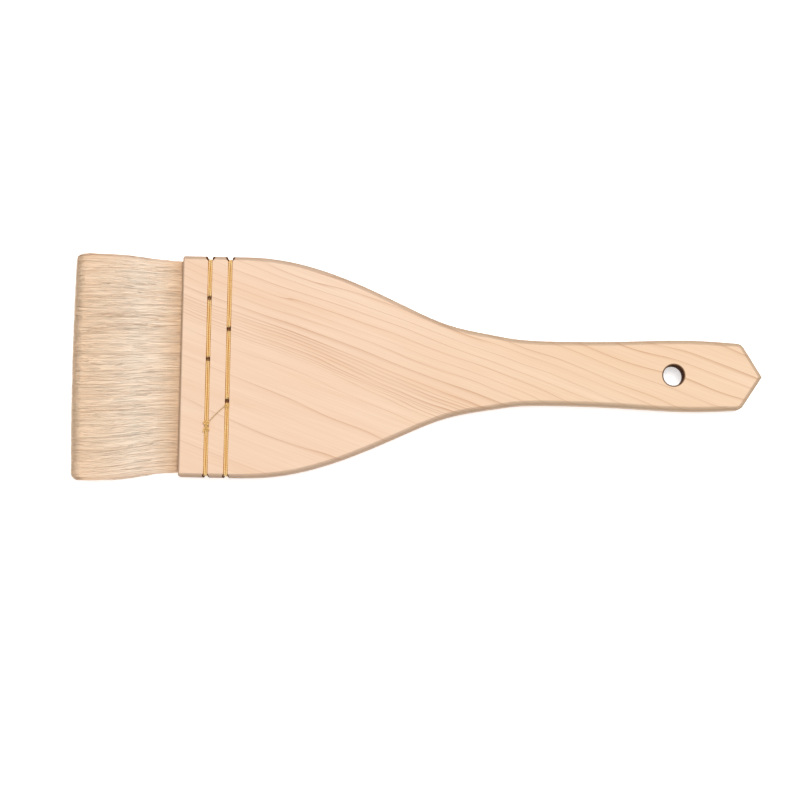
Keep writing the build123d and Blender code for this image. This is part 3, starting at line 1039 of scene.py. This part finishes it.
def dyed_silk(name, deep, bright):
    """Silk thread: fine filaments that run along each ply, from a deep to a bright tone of its dye."""
    silk = bpy.data.materials.new(name)
    silk.use_nodes = True
    tree = silk.node_tree
    tree.nodes.clear()

    filament_frame = tree.nodes.new("NodeFrame")
    filament_frame.label = "Filaments along the ply"
    silk_frame = tree.nodes.new("NodeFrame")
    silk_frame.label = "Dyed silk"

    silk_way = tree.nodes.new("ShaderNodeAttribute")
    silk_way.label = "along and around the ply"
    silk_way.attribute_name = "thread_way"

    silk_stretch = tree.nodes.new("ShaderNodeMapping")
    silk_stretch.label = "long thin filaments"
    silk_stretch.inputs["Scale"].default_value = (700, 3.2, 3.2)
    tree.links.new(silk_way.outputs["Vector"], silk_stretch.inputs["Vector"])

    filaments = tree.nodes.new("ShaderNodeTexNoise")
    filaments.label = "filaments"
    filaments.inputs["Scale"].default_value = 1.0
    filaments.inputs["Detail"].default_value = 3.0
    tree.links.new(silk_stretch.outputs["Vector"], filaments.inputs["Vector"])

    silk_tone = tree.nodes.new("ShaderNodeValToRGB")
    silk_tone.label = "deep gold to bright yellow"
    silk_tone.color_ramp.elements[0].position = 0.3
    silk_tone.color_ramp.elements[0].color = (*deep, 1)
    silk_tone.color_ramp.elements[1].position = 0.68
    silk_tone.color_ramp.elements[1].color = (*bright, 1)
    tree.links.new(filaments.outputs["Fac"], silk_tone.inputs["Fac"])

    silk_bump = tree.nodes.new("ShaderNodeBump")
    silk_bump.label = "filaments catch the light"
    silk_bump.inputs["Strength"].default_value = 0.5
    silk_bump.inputs["Distance"].default_value = 0.00003
    tree.links.new(filaments.outputs["Fac"], silk_bump.inputs["Height"])

    silk_dullness = tree.nodes.new("ShaderNodeMapRange")
    silk_dullness.label = "silk gloss"
    silk_dullness.inputs["To Min"].default_value = 0.32
    silk_dullness.inputs["To Max"].default_value = 0.52
    tree.links.new(filaments.outputs["Fac"], silk_dullness.inputs["Value"])

    silk_skin = tree.nodes.new("ShaderNodeBsdfPrincipled")
    silk_skin.label = "yellow silk"
    silk_skin.inputs["Sheen Weight"].default_value = 0.15
    tree.links.new(silk_tone.outputs["Color"], silk_skin.inputs["Base Color"])
    tree.links.new(silk_dullness.outputs["Result"], silk_skin.inputs["Roughness"])
    tree.links.new(silk_bump.outputs["Normal"], silk_skin.inputs["Normal"])

    silk_out = tree.nodes.new("ShaderNodeOutputMaterial")
    silk_out.label = "thread"
    tree.links.new(silk_skin.outputs["BSDF"], silk_out.inputs["Surface"])
    for effect, nodes in (
        (filament_frame, (silk_way, silk_stretch, filaments, silk_bump)),
        (silk_frame, (silk_tone, silk_dullness, silk_skin)),
    ):
        for node in nodes:
            node.parent = effect
    lay_out(tree)
    return silk


yellow_silk = dyed_silk("yellow_silk", (0.90, 0.51, 0.16), (1.0, 0.79, 0.37))

stitch_nodes = [f"front_row_stitch_{place}" for place in (1, 2, 3, 4)]
stitch_nodes += [f"rear_row_stitch_{place}" for place in (1, 2, 3)]
for order, node in enumerate(stitch_nodes):
    low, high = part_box(node)
    y, z, run, length = stitch_line(low, high, 2 * int((high.y - low.y + high.z - low.z) / 0.00016))
    distance = np.arange(len(y)) * length / len(y)
    way = np.roll(y, -1) - np.roll(y, 1), np.roll(z, -1) - np.roll(z, 1)
    size = np.hypot(*way)
    second = np.stack([0 * y, -way[1] / size, way[0] / size], axis=-1)
    first = np.broadcast_to(np.array([1.0, 0.0, 0.0]), second.shape)
    # The two strands lie closest where they go down a hole or a notch.
    spread = 0.00028 + 0.00011 * smooth_step(np.minimum(run, 1 - run) * (high.y - low.y) / 0.004)
    sway = 0.00006 * np.sin(2 * np.pi * run * 1.5 + order)
    lines = []
    for side in (-1, 1):
        x = (low.x + high.x) / 2 + side * spread + sway
        strand_line = np.stack([x, y, z], axis=-1)
        turns = round(length / twist_pitch)
        lines.append(plies(strand_line, first, second, distance, length, turns, order + side))
    lines = np.concatenate(lines)
    first = np.broadcast_to(first, lines.shape)
    second = np.broadcast_to(second, lines.shape)
    mesh = tube_mesh(
        node + "_silk", lines, np.full(lines.shape[:2], ply_radius), first, second, 7,
        closed=True, bake_columns=1,
    )
    mesh.materials.append(yellow_silk)
    stitch = bpy.data.objects.new(node + "_silk", mesh)
    bpy.context.scene.collection.objects.link(stitch)
    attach(stitch, "root")
    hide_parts(node)


# Tie-off knot
# The end of the thread is made fast on the face: one overhand knot drawn down on the front row, its
# tail wound twice round the two strands under it, and both ends trimmed short.
knot_low, knot_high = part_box("tie_off_knot")
knot_middle = (knot_low + knot_high) / 2


def cross_axes(line, closed):
    """Two directions square to a line at each of its points. The first is a slightly tilted up,
    less its part along the line, made one long. The second is the line's own direction crossed with it."""
    if closed:
        way = np.roll(line, -1, axis=0) - np.roll(line, 1, axis=0)
    else:
        way = np.gradient(line, axis=0)
    way = way / np.linalg.norm(way, axis=-1, keepdims=True)
    up = np.array([0.15, 0.1, 1.0])
    first = up - (way @ up)[:, None] * way
    first = first / np.linalg.norm(first, axis=-1, keepdims=True)
    return first, np.cross(way, first)


handled_silk = dyed_silk("handled_silk", (0.66, 0.33, 0.07), (0.97, 0.67, 0.25))


def twisted_thread(name, line, closed, taper=0, material=handled_silk, share=1.0):
    """A mesh of two plies twisted round a line. The line's points are taken again at an even pace of
    0.1 mm. With a taper, the plies thin to under half and close up over that far at the end. share
    is the thread's size as a share of the sewing thread's."""
    shut = np.concatenate([line, line[:1]]) if closed else line
    reach = np.concatenate([[0], np.cumsum(np.linalg.norm(np.diff(shut, axis=0), axis=-1))])
    paces = max(12, int(reach[-1] / 0.0001))
    distance = np.linspace(0, reach[-1], paces, endpoint=not closed)
    even = np.stack([np.interp(distance, reach, shut[:, axis]) for axis in range(3)], axis=-1)
    first, second = cross_axes(even, closed)
    turns = max(1, round(reach[-1] / twist_pitch))
    lines = plies(even, first, second, distance, reach[-1], turns, 0.4)
    close = share * np.ones_like(distance)
    if taper:
        close = close * (0.45 + 0.55 * smooth_step((reach[-1] - distance) / taper))
    lines = even + (lines - even) * close[None, :, None]
    first, second = np.broadcast_to(first, lines.shape), np.broadcast_to(second, lines.shape)
    radius = np.broadcast_to(ply_radius * close, lines.shape[:2])
    mesh = tube_mesh(name, lines, radius, first, second, 7, closed=closed, bake_columns=1)
    mesh.materials.append(material)
    thread = bpy.data.objects.new(name, mesh)
    bpy.context.scene.collection.objects.link(thread)
    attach(thread, "root")
    return thread


# The knot's own line is the trefoil: x = sin t + 2 sin 2t, y = cos t - 2 cos 2t, z = - sin 3t.
turn = np.linspace(0, 2 * np.pi, 240, endpoint=False)
knot_line = np.stack([
    knot_middle.x + 0.00031 * (np.sin(turn) + 2 * np.sin(2 * turn)),
    knot_middle.y + 0.0006 + 0.00033 * (np.cos(turn) - 2 * np.cos(2 * turn)),
    knot_middle.z + 0.00002 - 0.00028 * np.sin(3 * turn),
], axis=-1)
knot = twisted_thread("overhand_knot", knot_line, True)
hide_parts("tie_off_knot")

# The windings are a flat spring: an ellipse 1.5 mm wide and 1 mm high, carried 1.2 mm along the row.
turn = np.linspace(-0.4, 4 * np.pi + 0.4, 200)
winding_line = np.stack([
    knot_middle.x + 0.00076 * np.sin(turn),
    knot_middle.y - 0.0007 - 0.0011 * turn / (4 * np.pi),
    knot_middle.z - 0.00062 + 0.00048 * np.cos(turn),
], axis=-1)
windings = twisted_thread("knot_windings", winding_line, False, share=0.8)
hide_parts("tie_off_knot")

# Each trimmed end is a short bent line that rises from under the knot and tapers to its cut.
reach = np.linspace(0, 1, 24)
for name, side, drop in (("trimmed_end_left", -1, 0.0019), ("trimmed_end_right", 1, 0.0014)):
    end_line = np.stack([
        knot_middle.x + side * (0.0003 + 0.00075 * reach),
        knot_middle.y - 0.0006 - drop * reach**1.3,
        knot_middle.z - 0.0002 + 0.00018 * np.sin(np.pi * reach),
    ], axis=-1)
    trimmed_end = twisted_thread(name, end_line, False, taper=0.0005)
    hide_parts("tie_off_knot")


# Tie strand
# One finer strand, coloured darker as painted shade, that crosses the face from the rear row to the
# knot. It starts from a small hitch over the rear row, just below the last hole, and lies on the wood.
tie_low, tie_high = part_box("tie_strand")
hitch_y = tie_high.y - 0.0004
rest_height = tie_low.z + 0.00022

reach = np.linspace(0, 1, 60)
strand_start = np.array([rear_row_x - 0.0004, hitch_y - 0.0002, rest_height + 0.00022])
strand_end = np.array([knot_middle.x + 0.0004, knot_middle.y + 0.0007, rest_height + 0.0002])
bow = np.sin(np.pi * reach)[:, None] * np.array([-0.00014, 0.00016, -0.0001])
tie_line = strand_start + (strand_end - strand_start) * reach[:, None] + bow
shaded_silk = dyed_silk("shaded_silk", (0.42, 0.27, 0.10), (0.66, 0.46, 0.20))
tie_strand = twisted_thread("tie_strand_silk", tie_line, False, material=shaded_silk, share=0.66)
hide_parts("tie_strand")

# The hitch is two tilted rings round the rear row's strands, each an ellipse 1.6 mm wide and 1.1 mm high.
turn = np.linspace(0, 2 * np.pi, 120, endpoint=False)
for name, slip in (("hitch_upper_turn", 0.0), ("hitch_lower_turn", -0.00052)):
    hitch_line = np.stack([
        rear_row_x + 0.00082 * np.sin(turn),
        hitch_y + slip + 0.00022 * np.sin(turn),
        rest_height - 0.00052 + 0.00056 * np.cos(turn),
    ], axis=-1)
    hitch = twisted_thread(name, hitch_line, True)
    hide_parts("tie_strand")


# Studio
# A plain white table that runs out of sight, one large soft light above it to the upper right, and a
# pale room. The camera looks down on the face of the brush, about 4 degrees off the upright.
def table_waves(count, reach):
    """A square grid of points at floor height, which dips by a few hundredths of a millimetre."""
    span = np.linspace(-reach, reach, count)
    x, y = np.meshgrid(span, span, indexing="ij")
    return np.stack([x, y, -0.00002 * (1 + np.sin(9 * x) * np.sin(7 * y))], axis=-1)


grid = table_waves(13, 3.0)
index = np.arange(grid.shape[0] * grid.shape[1]).reshape(grid.shape[:2])
table_faces = np.stack([index[:-1, :-1], index[1:, :-1], index[1:, 1:], index[:-1, 1:]], axis=-1)
table_mesh = bpy.data.meshes.new("white_table")
table_mesh.from_pydata(grid.reshape(-1, 3), [], table_faces.reshape(-1, 4).tolist())
table = bpy.data.objects.new("white_table", table_mesh)
bpy.context.scene.collection.objects.link(table)

white_paper = bpy.data.materials.new("white_paper")
white_paper.use_nodes = True
tree = white_paper.node_tree
tree.nodes.clear()
paper_place = tree.nodes.new("ShaderNodeTexCoord")
paper_place.label = "place on the table"
paper_grain = tree.nodes.new("ShaderNodeTexNoise")
paper_grain.label = "paper"
paper_grain.inputs["Scale"].default_value = 400.0
tree.links.new(paper_place.outputs["Object"], paper_grain.inputs["Vector"])
paper_tone = tree.nodes.new("ShaderNodeValToRGB")
paper_tone.label = "white"
paper_tone.color_ramp.elements[0].color = (0.955, 0.955, 0.955, 1)
paper_tone.color_ramp.elements[1].color = (0.985, 0.985, 0.985, 1)
tree.links.new(paper_grain.outputs["Fac"], paper_tone.inputs["Fac"])
paper_skin = tree.nodes.new("ShaderNodeBsdfPrincipled")
paper_skin.label = "white paper"
paper_skin.inputs["Roughness"].default_value = 0.8
paper_skin.inputs["Specular IOR Level"].default_value = 0.1
paper_skin.inputs["Emission Color"].default_value = (1, 1, 1, 1)
paper_skin.inputs["Emission Strength"].default_value = 0.55
tree.links.new(paper_tone.outputs["Color"], paper_skin.inputs["Base Color"])
paper_out = tree.nodes.new("ShaderNodeOutputMaterial")
paper_out.label = "table"
tree.links.new(paper_skin.outputs["BSDF"], paper_out.inputs["Surface"])
lay_out(tree)
table_mesh.materials.append(white_paper)

room = bpy.data.worlds.new("pale_room")
bpy.context.scene.world = room
room.use_nodes = True
tree = room.node_tree
tree.nodes.clear()
room_way = tree.nodes.new("ShaderNodeTexCoord")
room_way.label = "direction in the room"
room_axes = tree.nodes.new("ShaderNodeSeparateXYZ")
room_axes.label = "how high"
tree.links.new(room_way.outputs["Generated"], room_axes.inputs["Vector"])
room_tone = tree.nodes.new("ShaderNodeValToRGB")
room_tone.label = "grey walls, white ceiling"
room_tone.color_ramp.elements[0].position = 0.0
room_tone.color_ramp.elements[0].color = (0.42, 0.43, 0.45, 1)
room_tone.color_ramp.elements[1].position = 0.8
room_tone.color_ramp.elements[1].color = (0.95, 0.97, 1.0, 1)
tree.links.new(room_axes.outputs["Z"], room_tone.inputs["Fac"])
room_light = tree.nodes.new("ShaderNodeBackground")
room_light.label = "light from the room"
room_light.inputs["Strength"].default_value = 0.62
tree.links.new(room_tone.outputs["Color"], room_light.inputs["Color"])
room_seen = tree.nodes.new("ShaderNodeBackground")
room_seen.label = "white beyond the table"
room_seen.inputs["Color"].default_value = (0.97, 0.97, 0.97, 1)
room_ray = tree.nodes.new("ShaderNodeLightPath")
room_ray.label = "looked at directly"
room_mix = tree.nodes.new("ShaderNodeMixShader")
room_mix.label = "room seen or room lighting"
tree.links.new(room_ray.outputs["Is Camera Ray"], room_mix.inputs["Fac"])
tree.links.new(room_light.outputs["Background"], room_mix.inputs[1])
tree.links.new(room_seen.outputs["Background"], room_mix.inputs[2])
room_out = tree.nodes.new("ShaderNodeOutputWorld")
room_out.label = "room"
tree.links.new(room_mix.outputs["Shader"], room_out.inputs["Surface"])
lay_out(tree)

softbox_light = bpy.data.lights.new("softbox", "AREA")
softbox_light.shape = "DISK"
softbox_light.size = 0.55
softbox_light.energy = 9.3
softbox_light.color = (1.0, 0.985, 0.96)
softbox = bpy.data.objects.new("softbox", softbox_light)
bpy.context.scene.collection.objects.link(softbox)
softbox.location = (0.20, 0.30, 1.2)
softbox.rotation_euler = (Vector((0, 0, 0)) - softbox.location).to_track_quat("-Z", "Y").to_euler()

camera_lens = bpy.data.cameras.new("camera")
camera_lens.lens = 113.8
camera_lens.sensor_width = 36
camera_lens.clip_start = 0.01
camera = bpy.data.objects.new("camera", camera_lens)
bpy.context.scene.collection.objects.link(camera)
camera.rotation_euler = (math.radians(3.8), 0, math.radians(1.12))
camera_back = camera.rotation_euler.to_matrix() @ Vector((0, 0, 1))
camera_aim = Vector((-0.0057, -0.0102, 0.009))
camera_distance = 0.855
camera.location = camera_aim + camera_distance * camera_back
bpy.context.scene.camera = camera
bpy.context.scene.view_settings.view_transform = "Standard"
